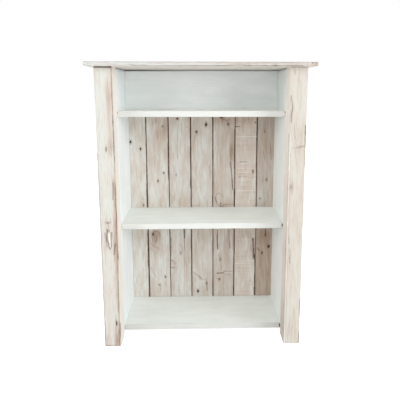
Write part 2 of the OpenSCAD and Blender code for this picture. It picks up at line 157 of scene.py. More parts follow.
PLANK_MARKS = {
    1: [
        Knot(-263, 644, 4.1, 6.3, 1), Knot(-227, 619, 3.8, 5.7, 1), Knot(-221, 405, 3.6, 6.5, 0.5),
        stroke(-224, 432, -214, 424, 2, 0.4), stroke(-228, 616, -229, 578, 1.6, 0.25),
        # The first stroke below, down plank 1's left edge, is painted shadow in the corner by the side
        # panel
        stroke(-269, 20, -269, 330, 2.2, 0.45), stroke(-218, 186, -218, 158, 1.6, 0.4),
        Stain(-257, 708, 19, 20, 0.35), Stain(-231, 291, 11, 23, 0.25), Stain(-253, 178, 19, 47, -0.3),
    ],
    2: [
        Knot(-144, 702, 3.1, 4.6, 0.6), Knot(-143, 528, 3.4, 5, 0.7), Knot(-165, 498, 2.7, 5.7, 0.9),
        Knot(-144, 118, 3.4, 5, 0.75), Knot(-167, 85, 4.1, 4.2, 0.5), Knot(-188, 290, 4.6, 8, 0.8),
        stroke(-190, 697, -188, 664, 1.6, 0.25), stroke(-169, 734, -167, 716, 2.2, 0.5),
        Line([(-201, 157), (-191, 141), (-180, 116)], 2.4, 0.4),
        Line([(-200, 120), (-182, 96), (-170, 82)], 2, 0.25),
        Line([(-184, 300), (-176, 302), (-166, 299), (-162, 288)], 4.4, 0.45),
        Line([(-169, 290), (-173, 272), (-178, 262)], 4, 0.35),
        Line([(-198, 254), (-182, 240), (-164, 232)], 2.6, 0.35),
        Line([(-202, 238), (-192, 226), (-180, 212)], 2.2, 0.3), stroke(-176, 268, -154, 246, 2.4, 0.3),
        Stain(-176, 284, 14, 22, 0.85), Stain(-140, 697, 15, 35, 0.75), Stain(-180, 723, 19, 20, 0.5),
        Stain(-166, 668, 9, 23, 0.6), Stain(-130, 600, 9, 47, 0.4), Stain(-197, 487, 5, 31, 0.55),
        Stain(-170, 471, 23, 47, -0.4), Stain(-182, 247, 23, 55, 0.45), Stain(-156, 178, 19, 39, -0.4),
        Stain(-177, 58, 27, 16, 0.35),
    ],
    3: [
        Knot(-90, 730, 4.8, 4.2, 0.85), Knot(-55, 700, 2.4, 2.4, 0.4), Knot(-97, 520, 2.7, 5, 0.5),
        Knot(-84, 214, 4.1, 7.7, 0.35), stroke(-90, 701, -91, 578, 1.4, 0.45),
        stroke(-69, 314, -68, 275, 2.7, 0.95), stroke(-68, 278, -68, 225, 2, 0.7),
        stroke(-68, 225, -69, 136, 1.6, 0.4), stroke(-84, 252, -76, 224, 2.2, 0.45),
        stroke(-118, 274, -120, 202, 2, 0.6), stroke(-108, 266, -110, 234, 1.4, 0.35),
        Line([(-121, 186), (-111, 181), (-104, 169)], 2.6, 0.6),
        Line([(-121, 157), (-114, 153), (-108, 157)], 2.4, 0.6), stroke(-93, 103, -94, 74, 1.5, 0.35),
        Stain(-99, 715, 27, 23, 0.35), Stain(-91, 413, 27, 20, 0.35), Stain(-110, 428, 8, 31, 0.35),
        Stain(-75, 615, 15, 78, -0.35), Stain(-59, 205, 9, 63, 0.4), Stain(-87, 99, 30, 39, -0.4),
        Stain(-110, 169, 11, 20, 0.35),
    ],
    4: [
        Knot(-20, 681, 4.4, 5.5, 0.8), Knot(15, 708, 4.3, 8, 1), Knot(-18, 57, 4.1, 7, 1),
        Knot(16, 89, 3.4, 5.7, 0.55), Line([(-39, 138), (-22, 125), (-4, 108)], 2.6, 0.5),
        stroke(16, 110, 18, 60, 3, 0.45), stroke(-14, 106, 10, 104, 2, 0.3),
        stroke(28, 558, 30, 501, 2.2, 0.3), stroke(-21, 672, -27, 655, 2, 0.35),
        Line([(-8, 480), (-32, 452), (-39, 430)], 2.6, 0.25), stroke(-38, 400, -10, 404, 3, 0.3),
        Stain(-7, 719, 34, 31, 0.3), Stain(-30, 615, 9, 86, 0.3), Stain(3, 463, 27, 55, -0.5),
        Stain(-12, 290, 19, 35, 0.5), Stain(-28, 177, 11, 55, 0.25), Stain(19, 205, 15, 55, -0.35),
        Stain(-21, 61, 19, 16, 0.3),
    ],
    5: [
        Knot(71, 734, 5, 4.5, 1), Knot(97, 710, 4.6, 7, 0.7),
        Line([(78, 728), (90, 722), (102, 726)], 4, 0.35), stroke(97, 712, 106, 690, 3, 0.3),
        Knot(66, 105, 3.4, 5.7, 0.65), Knot(70, 186, 2.7, 7, 0.4),
        Line([(106, 566), (110, 532), (113, 493), (115, 462)], 2, 0.7),
        stroke(102, 640, 105, 585, 2.4, 0.4), Line([(59, 305), (57, 273), (59, 229)], 2.4, 0.75),
        Line([(102, 305), (103, 265), (105, 233)], 2.8, 0.5), stroke(64, 210, 66, 180, 2, 0.45),
        stroke(72, 205, 73, 182, 1.6, 0.35), stroke(56, 130, 81, 131, 2, 0.9),
        stroke(82, 138, 116, 137, 2.2, 0.55), stroke(82, 125, 114, 122, 1.8, 0.3),
        stroke(82, 135, 82, 60, 1.6, 0.3), stroke(57, 108, 74, 106, 1.8, 0.5),
        Line([(49, 435), (53, 416), (62, 400)], 2.4, 0.6),
        Line([(53, 443), (60, 449), (71, 445), (79, 435)], 2.2, 0.4),
        Line([(68, 398), (90, 405), (117, 404)], 4.1, 0.4),
        Line([(70, 412), (68, 398), (82, 390)], 2.4, 0.5), stroke(83, 134, 116, 133, 1.4, -0.4),
        Stain(78, 728, 40, 20, 0.7), Stain(100, 689, 11, 27, 0.35), Stain(110, 606, 8, 36, 0.8),
        Stain(88, 400, 24, 12, 0.5), Stain(113, 660, 7, 39, 0.35), Stain(71, 596, 8, 47, 0.2),
        Stain(99, 273, 15, 55, 0.25), Stain(92, 176, 19, 47, 0.25), Stain(97, 81, 23, 31, -0.25),
    ],
    6: [
        Knot(197, 715, 3.1, 3.1, 0.55), Knot(191, 532, 2.8, 8, 0.7), stroke(130, 663, 200, 663, 1.6, -0.5),
        stroke(142, 568, 168, 568, 1.2, 0.6), stroke(142, 563, 168, 563, 1.2, -0.5),
        stroke(137, 513, 169, 514, 1.2, 0.45), stroke(173, 510, 203, 511, 1.2, 0.3),
        stroke(167, 516, 167, 485, 1.4, 0.3), stroke(139, 489, 204, 487, 1.2, 0.25),
        stroke(130, 458, 204, 457, 1.6, -0.5), stroke(129, 170, 182, 170, 1.6, -0.6),
        stroke(128, 268, 196, 267, 1.6, -0.35), stroke(129, 198, 185, 199, 1.4, 0.3),
        stroke(130, 130, 198, 130, 1.6, -0.4), stroke(131, 544, 196, 543, 1.3, -0.4),
        stroke(131, 528, 180, 529, 1.3, -0.45), stroke(133, 500, 200, 500, 1.3, -0.5),
        stroke(131, 471, 190, 472, 1.3, -0.4), stroke(130, 179, 196, 180, 1.4, -0.45),
        stroke(131, 158, 190, 158, 1.4, -0.45), stroke(130, 144, 200, 143, 1.4, -0.4),
        stroke(134, 620, 170, 621, 1.3, -0.35), Line([(194, 268), (197, 232), (198, 190)], 4.4, 0.75),
        Stain(194, 225, 9, 30, 0.4), stroke(122, 700, 139, 701, 1.6, 0.8), Stain(162, 728, 45, 26, 0.7),
        Stain(165, 289, 30, 23, 0.5), Stain(185, 236, 9, 31, 0.25), Stain(164, 80, 30, 47, -0.35),
        Stain(191, 531, 8, 27, 0.3), Stain(166, 462, 34, 47, -0.2),
    ],
    7: [
        Knot(242, 500, 3.8, 7, 0.5), Knot(219, 427, 4.1, 4.2, 0.5), Knot(255, 237, 5, 7.5, 1),
        Knot(230, 211, 3.8, 6.3, 0.9), Knot(232, 682, 2.7, 5.7, 0.35), stroke(233, 700, 233, 675, 1.8, 0.4),
        stroke(227, 615, 234, 577, 1.6, 0.4), stroke(255, 633, 258, 577, 2.2, 0.5),
        stroke(225, 558, 227, 520, 1.6, 0.3), stroke(228, 512, 228, 489, 1.9, 0.4),
        stroke(242, 306, 242, 280, 2.4, 0.8), stroke(212, 232, 220, 220, 3, 0.5),
        stroke(246, 264, 251, 240, 1.9, 0.5), stroke(234, 652, 236, 615, 1.6, 0.25),
        Stain(234, 672, 23, 90, 0.3), Stain(234, 480, 30, 90, -0.2), Stain(238, 735, 30, 40, -0.2),
        Stain(254, 607, 6, 35, 0.25), Stain(242, 280, 23, 23, 0.5), Stain(257, 150, 8, 70, 0.35),
        Stain(234, 180, 30, 140, 0.5),
    ],
}
# Dark strokes along the seam to the right of a plank: its low and high ends, half width and darkness
SEAM_STROKES = {
    1: [(18, 330, 3.8, 1), (386, 560, 2.9, 1), (560, 760, 2, 0.8)],
    2: [
        (20, 240, 1.4, 0.6), (240, 320, 2.2, 0.9), (386, 500, 1.4, 0.6), (500, 640, 3.1, 1),
        (640, 760, 2, 0.9),
    ],
    3: [(20, 190, 1.8, 0.8), (190, 320, 2.3, 0.9), (386, 470, 1.8, 0.7), (470, 760, 2.6, 1)],
    4: [(20, 330, 1.8, 0.7), (386, 500, 2.2, 0.8), (500, 760, 2.2, 0.9)],
    5: [
        (20, 115, 2.9, 1), (115, 330, 2.2, 0.9), (386, 465, 2.4, 1), (465, 545, 1.2, 0.5),
        (545, 690, 2.2, 0.9),
    ],
    6: [(18, 70, 3.4, 1), (70, 205, 2.5, 1), (386, 480, 1.6, 0.6), (480, 760, 2.5, 1)],
}
POST_MARKS = {
    "left": [
        Knot(-280, 81, 2.8, 10, 0.9), Knot(-292, 655, 3, 10, 0.55), stroke(-268, 920, -268, 330, 1.9, 0.72),
        Line([(-268, 330), (-271, 150), (-273, -20)], 2.1, 0.6), stroke(-318.6, 640, -318.6, -20, 1.6, 0.6),
        stroke(-266, 320, -266, 300, 3.6, 0.9), Knot(-296, 421, 6, 4, 0.5),
        # The strokes along Z 901 and Z 3 are painted shade: under the top board and at the floor
        stroke(-287, 435, -288, 422, 2.4, 0.45), stroke(-319, 901, -268, 901, 3.2, 1),
        stroke(-319, 3, -272, 3, 2.6, 0.6), stroke(-281, 66, -281, 5, 2.6, 0.3),
        stroke(-275, 60, -277, 10, 2.2, 0.3), stroke(-295, 415, -293, 399, 2, 0.4),
        stroke(-301, 402, -293, 394, 2.4, 0.6),
        Line([(-298, 396), (-300, 379), (-300, 366), (-296, 351), (-292, 336)], 2.9, 0.62),
        Line([(-285, 389), (-286, 366), (-287, 344)], 2.7, 0.6), stroke(-287, 344, -292, 336, 2.6, 0.5),
        Line([(-294, 387), (-293, 369), (-291, 343)], 2.2, -0.9),
        Line([(-306, 388), (-304, 374), (-301, 361)], 2.4, 0.55), stroke(-305, 363, -301, 343, 2.2, 0.45),
        Line([(-275, 352), (-277, 336), (-280, 316)], 2.2, 0.6), stroke(-275, 548, -277, 496, 2.2, 0.6),
        stroke(-281, 110, -283, 53, 1.8, 0.4), stroke(-268, 81, -269, 32, 2.8, 0.5),
        Stain(-278, 818, 10, 49, 0.8), Stain(-280, 712, 10, 81, 0.8), Stain(-282, 651, 9, 26, 0.6),
        Stain(-272, 525, 7, 45, 0.9), Stain(-298, 372, 16, 40, 0.6), Stain(-271, 389, 6, 110, 1),
        Stain(-293, 336, 12, 20, 0.4), Stain(-274, 193, 5, 150, 0.8), Stain(-279, 30, 8, 30, 0.6),
        Stain(-296, 160, 40, 190, 0.22), Stain(-303, 760, 12, 120, -0.5), Stain(-300, 20, 30, 30, 0.4),
    ],
    "right": [
        # The stroke along Z 901 is painted shade under the top board
        Knot(278, 533, 4.5, 9, 0.2), stroke(268, 901, 319, 901, 2.4, 0.45),
        # The pale stroke along X 270 to 271 is a painted highlight on the inner arris
        stroke(271, 700, 270, -20, 1.4, -0.6), stroke(266, 700, 266, -20, 1.8, 0.5),
        stroke(274.5, 640, 274, -20, 1.6, 0.3),
        Line([(271, 815), (275, 788), (276, 776), (273, 758), (273, 735)], 2.2, 0.55),
        stroke(278, 900, 281, 880, 2.2, 0.35), stroke(283, 730, 286, 684, 2.1, 0.35),
        stroke(294, 718, 297, 678, 2.1, 0.3), stroke(290, 880, 291, 800, 1.8, 0.25),
        stroke(301, 860, 302, 780, 1.8, 0.2), stroke(275, 656, 291, 656, 3.6, 0.2),
        stroke(291, 657, 304, 659, 3.6, 0.3), stroke(304, 660, 318, 662, 2.4, 0.4),
        stroke(278, 330, 281, 282, 2.6, 0.45), stroke(276, 372, 277, 350, 2.2, 0.4),
        stroke(319, 725, 319, 655, 2.6, 0.8), stroke(319, 655, 319, 600, 2.2, 0.55),
        stroke(318, 160, 318, 95, 2.2, 0.6), stroke(319, 40, 319, 0, 2.2, 0.6),
        Stain(302, 694, 13, 28, 0.35), Stain(281, 530, 6, 20, 0.8), Stain(276, 770, 6, 50, 0.3),
        Stain(298, 650, 16, 16, 0.3), Stain(265, 619, 5, 65, 0.2), Stain(301, 425, 6, 49, 0.35),
        Stain(273, 409, 6, 65, 0.3), Stain(299, 47, 19, 32, 0.4), Stain(266, 350, 6, 330, 0.3),
    ],
}
# On the top board's front edge, across is Z and along is X
TOP_EDGE_MARKS = [
    Knot(906, -204, 1.5, 5, 0.35), Knot(902, 142, 2, 5, 0.7), Knot(902, 187, 2, 8, 0.7),
    Knot(902, 218, 2.4, 7, 0.95), Knot(911, 327, 1.8, 2.6, 0.8), Knot(911, 338, 1.8, 2.6, 0.8),
    stroke(914.4, -344, 914.4, 344, 1.4, 0.7), stroke(902.4, -200, 902.4, 300, 1.3, 0.65),
    Stain(908, 200, 14, 170, 0.6), Stain(904, 337, 5, 8, 0.4), Stain(908, -210, 14, 160, -0.7),
]
# Painted shade at the front corners of the shelves, where the gaps by the posts lie in shadow, and greyed
# front edges: dirt from handling, with painted shade that darkens the bottom shelf's front most. Across
# is Z and along is X
SHELF_MARKS_AND_SHADE = {
    "upper_shelf": [
        Knot(762, -268, 2.6, 2.6, 0.6), Knot(763, 267, 2.8, 2.6, 0.8), Stain(757, 0, 200, 3000, 0.55),
    ],
    "middle_shelf": [Knot(388, 267, 5, 2.8, 0.9), Stain(386, 0, 200, 3000, 0.5)],
    "bottom_shelf": [Knot(28, 267, 8, 2.8, 0.8), Stain(27, 0, 200, 3000, 0.85)],
}

# Colours as they look in plain light, sRGB
CASE_WHITE, CASE_SHADE, CASE_RUBBED = (0.949, 0.966, 0.964), (0.919, 0.941, 0.938), (0.80, 0.80, 0.785)
DARK_WOOD = (0.30, 0.20, 0.15)
# The brown of the seams' dirt and painted shade, and of the darkening low on a post's side
SEAM_BROWN = (0.46, 0.33, 0.25)
BLUSH = (0.84, 0.77, 0.735)
# Pale wood that stands for painted light on faces that should look more lit
PAINTED_LIGHT_WOOD = (0.985, 0.950, 0.918)
KNOT_DARK = (0.25, 0.17, 0.13)
SCRAPED = (0.96, 0.95, 0.93)
SOFTWOOD_PALE, SOFTWOOD_RING, SOFTWOOD_FIBRE = (0.84, 0.72, 0.55), (0.72, 0.57, 0.38), (0.60, 0.45, 0.29)
ZINC_PALE, ZINC_DARK, ZINC_DULL = (0.64, 0.64, 0.645), (0.50, 0.50, 0.505), (0.40, 0.36, 0.32)

# Limewashed timber: the coat's pale and warm colours and the bare wood's, then how far the coat shifts
# from pale to warm, how much bare wood shows through and how pink the coat's patches are
Tones = namedtuple("Tones", "lime warm wood warmth bare blush")
POST_TONES = {
    "left": Tones((0.842, 0.854, 0.828), (0.836, 0.808, 0.774), (0.72, 0.61, 0.53), -0.15, -0.3, 0.2),
    "right": Tones((0.822, 0.824, 0.788), (0.808, 0.775, 0.735), (0.69, 0.59, 0.51), 0.0, -0.12, 0.35),
}
TOP_TONES = Tones((0.818, 0.832, 0.822), (0.808, 0.780, 0.750), (0.67, 0.58, 0.51), -0.1, -0.15, 0.25)
PLANK_TONES = Tones((0.930, 0.935, 0.915), (0.862, 0.812, 0.765), (0.69, 0.57, 0.48), 0.0, 0.0, 0.35)
# The shade that darkens each plank's coat, then its warmth and its bare wood
PLANK_LOOKS = {
    1: (0.965, -0.05, -0.3), 2: (0.955, 0.0, -0.15), 3: (0.95, 0.0, -0.2), 4: (0.945, 0.0, -0.15),
    5: (0.955, 0.15, 0.0), 6: (0.985, 0.15, -0.1), 7: (0.875, 0.3, 0.15),
}
# The plank that still shows the marks of the saw, and how strongly
SAWN_PLANK, SAW_STRENGTH = 6, 0.35

# Slight tints of the white paint: shifts of hue, and painted light that makes the left side panel's coat
# lighter
PAINT_TINTS_AND_LIGHT = {
    "case_paint": (1.0, 1.0, 1.0),
    "case_paint_left": (1.010, 1.010, 1.018),
    "case_paint_right": (0.999, 0.994, 0.986),
    "shelf_paint": (1.008, 1.004, 0.99),
}

# Noises of the timber's grain: the size of their waves across, through and along a board in
# millimetres, then their detail and roughness
TIMBER_NOISES = {
    "fibre": (1.5, 1.5, 44, 3.0, 0.6),
    "pore": (0.8, 0.8, 12, 2.0),
    "vein": (3.6, 3.6, 60, 2.0),
    "fleck": (2.4, 2.4, 9, 2.0),
    "band": (9, 9, 120, 3.0, 0.55),
    "cloud": (26, 26, 60, 3.0),
    "tint": (30, 50, 130, 2.0),
    "blush": (13, 13, 46, 3.0),
    "saw": (70, 70, 2.2, 2.0),
}
Waves = namedtuple("Waves", TIMBER_NOISES)
# The grain wanders sideways in slow and in quick waves: their sizes as above, and how far they reach
WANDERS = [((60, 60, 160, 1.0), 14 * MM), ((16, 16, 34, 1.0), 7 * MM)]
# What the noises in the coat's warmth and in the share of bare wood add up to
WARMTH_MEAN, BARE_MEAN = 1.25, 0.95


def noise(u, v, seed):
    """Smooth noise from -1 to 1 that has one wave in about two units of u or v."""
    table = np.random.default_rng(seed).uniform(-1, 1, (NOISE_CELLS, NOISE_CELLS))
    col, row = np.floor(u).astype(int), np.floor(v).astype(int)
    right, up = smooth(0, 1, u - col), smooth(0, 1, v - row)

    def along_row(row):
        here, ahead = (table[c % NOISE_CELLS, row % NOISE_CELLS] for c in (col, col + 1))
        return here * (1 - right) + ahead * right

    return along_row(row) * (1 - up) + along_row(row + 1) * up


def smooth(low, high, value):
    """0 at low, 1 at high and a smooth rise between them. It falls where low is above high."""
    t = np.clip((value - low) / (high - low), 0, 1)
    return t * t * (3 - 2 * t)


def rounded_outline(corners, radius, step):
    """Points round an anticlockwise outline with its convex corners rounded, with their outward normals
    and their distance from the nearest convex corner."""
    corners = np.array(corners, float)
    sides = np.roll(corners, -1, axis=0) - corners
    lengths = np.linalg.norm(sides, axis=1)
    ahead = sides / lengths[:, None]
    out = np.stack([ahead[:, 1], -ahead[:, 0]], axis=1)
    before = np.roll(ahead, 1, axis=0)
    convex = before[:, 0] * ahead[:, 1] - before[:, 1] * ahead[:, 0] > 0
    radii = np.where(convex, radius, 0)
    points, normals = [], []
    for i, corner in enumerate(corners):
        for share in CORNER_SHARES if convex[i] else (0.5,):
            normal = out[i - 1] * (1 - share) + out[i] * share
            normal /= np.linalg.norm(normal)
            points.append(corner + radii[i] * (normal - out[i - 1] - out[i]))
            normals.append(normal)
        run = lengths[i] - radii[i] - radii[(i + 1) % len(corners)]
        steps = max(1, round(run / step))
        for k in range(1, steps):
            points.append(corner + ahead[i] * (radii[i] + run * k / steps))
            normals.append(out[i])
    points = np.array(points)
    gaps = points[:, None] - corners[convex][None]
    return points, np.array(normals), np.linalg.norm(gaps, axis=2).min(axis=1)


def stations(low, high, radius, step, extra):
    """Places along a board where its outline is repeated, with some in its rounded ends."""
    ends = [share * radius for share in END_SHARES]
    inner = np.linspace(low + radius, high - radius, max(2, round((high - low) / step)))
    every = np.concatenate([[low + end for end in ends], inner, [high - end for end in ends], extra])
    return np.unique(every.round(6))


def board_faces(rings, count):
    """Faces of a closed bar that has count points in each of its rings."""
    ring, point = np.meshgrid(np.arange(rings - 1), np.arange(count), indexing="ij")
    a = ring * count + point
    b = ring * count + (point + 1) % count
    sides = np.stack([a, b, b + count, a + count], axis=-1).reshape(-1, 4).tolist()
    start = list(range(count))[::-1]
    end = list(range((rings - 1) * count, rings * count))
    return [*sides, start, end]


def mark_fields(grid, face, plane, marks, seed):
    """What the marks on one face do at each point of a board."""
    across, along = grid[..., face.across], grid[..., face.along]
    deep = np.abs(grid[..., face.deep] - plane) / face.reach
    fade = np.exp(-(deep**2))
    knot = np.full(across.shape, NO_KNOT)
    knot_dark, line, stain, shift = np.zeros((4, *across.shape))
    for number, mark in enumerate(marks):
        if isinstance(mark, Line):
            strength = line_strength(mark, across, along, seed + number) * fade * mark.dark
            line = np.where(np.abs(strength) > np.abs(line), strength, line)
            continue
        side, up = across - mark.across * MM, along - mark.along * MM
        spread = (side / (mark.half_w * MM)) ** 2 + (up / (mark.half_l * MM)) ** 2
        if isinstance(mark, Stain):
            stain += mark.warmth * np.exp(-spread * STAIN_FALL) * np.sqrt(fade)
            continue
        distance = np.sqrt(spread + deep**2)
        knot_dark = np.where(distance < knot, mark.dark, knot_dark)
        knot = np.minimum(knot, distance)
        shift -= side * GRAIN_PUSH * np.exp(-spread / GRAIN_PUSH_SPREAD) * fade
    return Fields(knot, knot_dark, line, stain, shift)


def line_strength(line, across, along, seed):
    """How strongly a line's wandering, broken stroke covers each point, from 0 to 1."""
    path, half_w = np.array(line.path) * MM, line.half_w * MM
    nearest = np.full(across.shape, np.inf)
    for start, end in zip(path[:-1], path[1:]):
        run = end - start
        share = ((across - start[0]) * run[0] + (along - start[1]) * run[1]) / (run @ run)
        share = np.clip(share, 0, 1)
        gap = np.hypot(across - start[0] - share * run[0], along - start[1] - share * run[1])
        nearest = np.minimum(nearest, gap)
    wander = LINE_WANDER * noise(along / WANDER_LENGTH, across / WANDER_LENGTH, seed)
    broken = 1 - LINE_FADE + LINE_FADE * noise(along / FADE_ALONG, across / FADE_ACROSS, seed + 1)
    return broken * np.exp(-((nearest / half_w + wander) ** 2))


def all_fields(grid, box, faces, seed):
    """What the marks on all the marked faces of a board do at each of its points."""
    low, high = box
    total = mark_fields(grid, FRONT, 0.0, [], seed)
    for number, (face, marks) in enumerate(faces):
        plane = (high if face.deep == Z else low)[face.deep]
        more = mark_fields(grid, face, plane, marks, seed + 20 * number)
        total = Fields(
            knot=np.minimum(more.knot, total.knot),
            knot_dark=np.where(more.knot < total.knot, more.knot_dark, total.knot_dark),
            line=total.line + more.line,
            stain=total.stain + more.stain,
            shift=total.shift + more.shift,
        )
    return total


def crossing_stations(faces, axis):
    """Places where a board needs closely spaced rings, because a line runs straight across it."""
    lines = [m for face, marks in faces if face.along == axis for m in marks if isinstance(m, Line)]
    found = []
    for line in lines:
        start, end = line.path[0][1], line.path[-1][1]
        if abs(start - end) < CROSSING_TILT:
            found += [((start + end) / 2 + move) * MM for move in CROSSING_MOVES]
    return found


def uneven_depth(s, t, along, wear, seed):
    """How far a board's waves and grain ridges lie inwards, at places given across and along it."""
    turned = (s + WAVE_TURN * t, t - WAVE_TURN * s)
    wave = sum(noise(x / WAVE_ACROSS, along / WAVE_ALONG, seed + i) for i, x in enumerate(turned))
    ridge = sum(noise(x / RIDGE_ACROSS, along / RIDGE_ALONG, seed + 5 + i) for i, x in enumerate(turned))
    return wear.wave * (2 + wave) / 4 + wear.ridge * (2 + ridge) / 4


def arris_wear(s, t, along, seed):
    """What share of the chips' depth an arris has lost at such places, by chips or by rubbing."""
    chips = smooth(0.05, 0.9, noise((s + t) / CHIP_ACROSS, along / CHIP_ALONG, seed + 9))
    rubbed = RUB_SHARE * (1 + noise((s - t) / RUB_ACROSS, along / RUB_ALONG, seed + 10))
    return np.maximum(chips, rubbed)


def rounded_ends(along, radius):
    """How far the ends of a board are rounded inwards at its rings."""
    end = np.minimum(along - along[0], along[-1] - along)
    return radius - np.sqrt(radius**2 - np.clip(radius - end, 0, None) ** 2)


def nowhere(grid, facing):
    """0 at every point."""
    return np.zeros(grid.shape[:-1])


def board(node, corners, axis, wear, seed, faces=(), extra=(), dirt_and_shade=nowhere, painted_light=nowhere, reshape=None):
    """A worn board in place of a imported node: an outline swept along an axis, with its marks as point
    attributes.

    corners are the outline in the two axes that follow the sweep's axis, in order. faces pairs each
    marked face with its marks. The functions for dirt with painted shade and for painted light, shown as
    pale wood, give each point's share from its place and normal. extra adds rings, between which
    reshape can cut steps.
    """
    box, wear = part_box(node), Wear(*[size * MM for size in wear])
    outline, normals, arris = rounded_outline(corners, wear.radius, wear.across)
    extra = [*extra, *crossing_stations(faces, axis)]
    along = stations(box[0][axis], box[1][axis], wear.radius, wear.along, extra)
    p, q = (axis + 1) % 3, (axis + 2) % 3
    grid, facing = np.zeros((2, len(along), len(outline), 3))
    grid[..., axis], grid[..., p], grid[..., q] = along[:, None], outline[:, 0], outline[:, 1]
    facing[..., p], facing[..., q] = normals[:, 0], normals[:, 1]

    marks, places = all_fields(grid, box, faces, seed), (grid[..., p], grid[..., q], grid[..., axis])
    near_arris, worn = np.exp(-((arris / ARRIS_REACH) ** 2)), arris_wear(*places, seed)
    depth = uneven_depth(*places, wear, seed) + wear.chip * near_arris * worn
    depth += rounded_ends(along, wear.radius)[:, None]
    depth += KNOT_DEPTH * marks.knot_dark * smooth(1.3, 0.4, marks.knot)
    depth += CRACK_DEPTH * np.clip(marks.line, 0, 1) ** 2
    shape = grid - depth[..., None] * facing
    if reshape:
        reshape(shape)

    across, through = (Y, Z) if axis == X else (X, Y)
    grain = np.stack([grid[..., across] + marks.shift, grid[..., through], grid[..., axis]], axis=-1)
    attributes = {
        "grain": grain + np.random.default_rng(seed).uniform(0, 3, 3),
        "knot": marks.knot, "knot_dark": marks.knot_dark, "line": marks.line, "stain": marks.stain,
        "dirt_and_shade": dirt_and_shade(grid, facing), "painted_light": painted_light(grid, facing),
        "arris": np.clip(near_arris * (ARRIS_SHOW + worn), 0, 1),
    }
    return add_piece(node, shape, attributes)


def add_piece(node, shape, attributes):
    """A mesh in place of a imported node, from the rings of a board's points and what they carry."""
    mesh = bpy.data.meshes.new(node + "_worn")
    mesh.from_pydata(shape.reshape(-1, 3).tolist(), [], board_faces(*shape.shape[:2]))
    mesh.shade_smooth()
    mesh.set_sharp_from_angle(angle=math.radians(SHARP_ANGLE))
    for name, values in attributes.items():
        kind, field = ("FLOAT_VECTOR", "vector") if values.ndim == 3 else ("FLOAT", "value")
        attribute = mesh.attributes.new(name, kind, "POINT")
        attribute.data.foreach_set(field, values.astype(np.float32).ravel())
    piece = add_object(node + "_worn", mesh)
    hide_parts(node)
    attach(piece, "root")
    return piece


def add_object(name, data):
    """An object in the scene."""
    made = bpy.data.objects.new(name, data)
    bpy.context.scene.collection.objects.link(made)
    return made


def rectangle(low, high, axis):
    """Corners of a box's section, anticlockwise, in the two axes that follow axis."""
    p, q = (axis + 1) % 3, (axis + 2) % 3
    return [(low[p], low[q]), (high[p], low[q]), (high[p], high[q]), (low[p], high[q])]


def hidden_marks(low, high, face, count, seed):
    """Knots, cracks and stains spread at random over a face that the photo doesn't show."""
    random = np.random.default_rng(seed)
    margin, crack_side, stain_side = 30 * MM, 12, -9
    found = []
    for _ in range(count):
        u = random.uniform(low[face.across], high[face.across]) / MM
        v = random.uniform(low[face.along] + margin, high[face.along] - margin) / MM
        half_w = random.uniform(2.5, 6)
        half_l = half_w * random.uniform(1.1, 1.7)
        found.append(Knot(u, v, half_w, half_l, random.uniform(0.4, 1.0)))
        length = random.uniform(30, 90)
        v = random.uniform(low[face.along] / MM, high[face.along] / MM - length)
        half_w, dark = random.uniform(0.8, 1.5), random.uniform(0.2, 0.6)
        found.append(stroke(u + crack_side, v, u + crack_side + 1, v + length, half_w, dark))
        half_w, half_l = random.uniform(8, 20), random.uniform(20, 60)
        found.append(Stain(u + stain_side, v, half_w, half_l, random.uniform(-0.3, 0.5)))
    return found


def joint_shade(top, share=1.0, fade_to=1.0):
    """Painted shade in the joint just under a height, where the top board shades it. It changes by fade_to
    from the left end to the middle.
    """
    left_end, reach = -220 * MM, 5 * MM

    def dirt_and_shade(grid, facing):
        sideways = 1 + (fade_to - 1) * smooth(left_end, 0.0, grid[..., X])
        return share * sideways * smooth(top - reach, top - 0.3 * reach, grid[..., Z])

    return dirt_and_shade


def looking(axis, sign, share=1.0):
    """A share on the faces that look along an axis, or against it if sign is -1, and 0 elsewhere."""
    return lambda grid, facing: share * smooth(LOOKS_FROM, LOOKS_FULL, sign * facing[..., axis])


def low_side_darkening(grid, facing):
    """Darkening on the faces that look towards -X: a little in the lower half, and more at the foot."""
    height = grid[..., Z]
    share = 0.18 * smooth(0.7, 0.4, height) + 0.25 * smooth(0.22, 0.03, height)
    return share * looking(X, -1)(grid, facing)


def seam_dirt_and_shade(front):
    """Dirt and painted shade in the seams between planks, from just behind their fronts. Their backs stay
    clean.
    """

    def dirt_and_shade(grid, facing):
        return smooth(SEAM_CLEAN, SEAM_FULL, grid[..., Y] - front) * (facing[..., Y] < LOOKS_FROM)

    return dirt_and_shade


# Shader helpers. A value may be a number, a colour or another node's output.
def add(tree, kind, settings=(), **inputs):
    """A shader node with its settings and its inputs. An input may be named by its number after an
    underscore."""
    made = tree.nodes.new(kind)
    for key, value in dict(settings).items():
        setattr(made, key, value)
    for key, value in inputs.items():
        socket = made.inputs[int(key[1:])] if key[1:].isdigit() else made.inputs[key.replace("_", " ")]
        if isinstance(value, bpy.types.NodeSocket):
            tree.links.new(value, socket)
        else:
            socket.default_value = value
    return made


def maths(tree, operation, *values):
    """The result of a Math node."""
    inputs = {f"_{i}": value for i, value in enumerate(values)}
    return add(tree, "ShaderNodeMath", {"operation": operation}, **inputs).outputs[0]


def weighted(tree, start, *terms):
    """A starting value plus every term's value times its weight."""
    for value, weight in terms:
        start = maths(tree, "MULTIPLY_ADD", value, weight, start)
    return start


def rise(tree, value, low, high, to_low=0.0, to_high=1.0):
    """A smooth change from to_low to to_high as a value goes from low to high."""
    settings = {"interpolation_type": "SMOOTHSTEP"}
    inputs = {"Value": value, "_1": low, "_2": high, "_3": to_low, "_4": to_high}
    return add(tree, "ShaderNodeMapRange", settings, **inputs).outputs[0]


def blend(tree, share, first, second):
    """A colour between two others."""
    inputs = {"_0": share, "_6": first, "_7": second}
    return add(tree, "ShaderNodeMix", {"data_type": "RGBA"}, **inputs).outputs[2]


